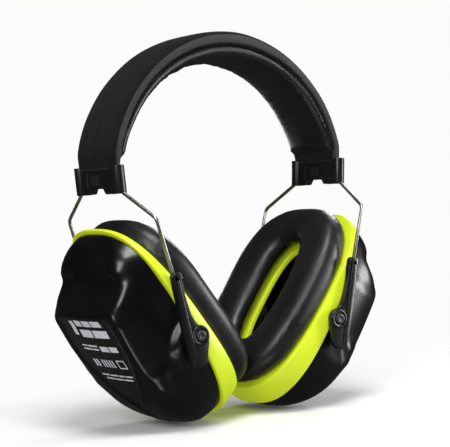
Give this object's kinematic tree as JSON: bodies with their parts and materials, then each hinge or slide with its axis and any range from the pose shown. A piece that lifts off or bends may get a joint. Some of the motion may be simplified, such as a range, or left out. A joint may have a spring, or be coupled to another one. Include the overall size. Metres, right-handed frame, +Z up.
{
  "type": "earmuff hearing protector",
  "caption": "Over-ear hearing protector: padded spring-wire headband with sliding arms and two tilting, cushioned ear cups.",
  "frame": {"origin": "crown: middle of the underside of the headband pad, where it rests on the head", "axes": "+Z up, +X towards the wearer's right ear, -Y towards the face; the two cups mirror each other across X = 0"},
  "size_m": [0.1724, 0.0896, 0.1993],
  "materials": {
    "sleeve_textile": "black woven textile with a lighter ribbed edge",
    "foam": "open-cell dark grey foam",
    "pad_leatherette": "smooth black leatherette, slightly wrinkled",
    "cushion_leatherette": "smooth satin black leatherette over foam",
    "clip_plastic": "satin black moulded plastic",
    "arm_plastic": "semi-gloss black moulded plastic",
    "shell_plastic": "glossy black moulded plastic",
    "ring_plastic": "fluorescent yellow-green moulded plastic, satin",
    "plate_plastic": "black moulded plastic",
    "spring_steel": "drawn spring-steel wire",
    "pin_plastic": "dark grey moulded pin"
  },
  "bodies": {
    "headband": {"headband_sleeve": "sleeve_textile", "headband_foam": "foam", "headband_pad": "pad_leatherette", "headband_wire_front": "spring_steel", "headband_wire_rear": "spring_steel"},
    "left_side": {"left_clip_outer": "clip_plastic", "left_clip_inner": "clip_plastic"},
    "left_arms": {"left_arm_front": "arm_plastic", "left_arm_rear": "arm_plastic", "left_pivot_pin_front": "pin_plastic", "left_pivot_pin_rear": "pin_plastic"},
    "left_cup": {"left_shell": "shell_plastic", "left_base_ring": "ring_plastic", "left_cushion_plate": "plate_plastic", "left_ear_cushion": "cushion_leatherette", "left_foam_liner": "foam"},
    "right_side": {"right_clip_outer": "clip_plastic", "right_clip_inner": "clip_plastic"},
    "right_arms": {"right_arm_front": "arm_plastic", "right_arm_rear": "arm_plastic", "right_pivot_pin_front": "pin_plastic", "right_pivot_pin_rear": "pin_plastic"},
    "right_cup": {"right_shell": "shell_plastic", "right_base_ring": "ring_plastic", "right_cushion_plate": "plate_plastic", "right_ear_cushion": "cushion_leatherette", "right_foam_liner": "foam"}
  },
  "joints": [
    {"name": "left_band_spread", "type": "hinge", "parent": "headband", "child": "left_side", "pos_m": [-0.034, 0, -0.003], "axis": [0, 1, 0], "range_deg": [0, 22], "stiffness_Nm_per_rad": 5, "deforming": ["headband_sleeve", "headband_foam", "headband_pad", "headband_wire_front", "headband_wire_rear"]},
    {"name": "left_height_slide", "type": "slide", "parent": "left_side", "child": "left_arms", "axis": [-0.2783, 0, 0.9605], "range_m": [0, 0.01]},
    {"name": "left_cup_tilt", "type": "hinge", "parent": "left_arms", "child": "left_cup", "pos_m": [-0.04462, 0, -0.13999], "axis": [0, 1, 0], "range_deg": [0, 40]},
    {"name": "right_band_spread", "type": "hinge", "parent": "headband", "child": "right_side", "pos_m": [0.034, 0, -0.003], "axis": [0, -1, 0], "range_deg": [0, 22], "stiffness_Nm_per_rad": 5, "deforming": ["headband_sleeve", "headband_foam", "headband_pad", "headband_wire_front", "headband_wire_rear"]},
    {"name": "right_height_slide", "type": "slide", "parent": "right_side", "child": "right_arms", "axis": [0.2783, 0, 0.9605], "range_m": [0, 0.01]},
    {"name": "right_cup_tilt", "type": "hinge", "parent": "right_arms", "child": "right_cup", "pos_m": [0.04462, 0, -0.13999], "axis": [0, -1, 0], "range_deg": [0, 40]}
  ]
}
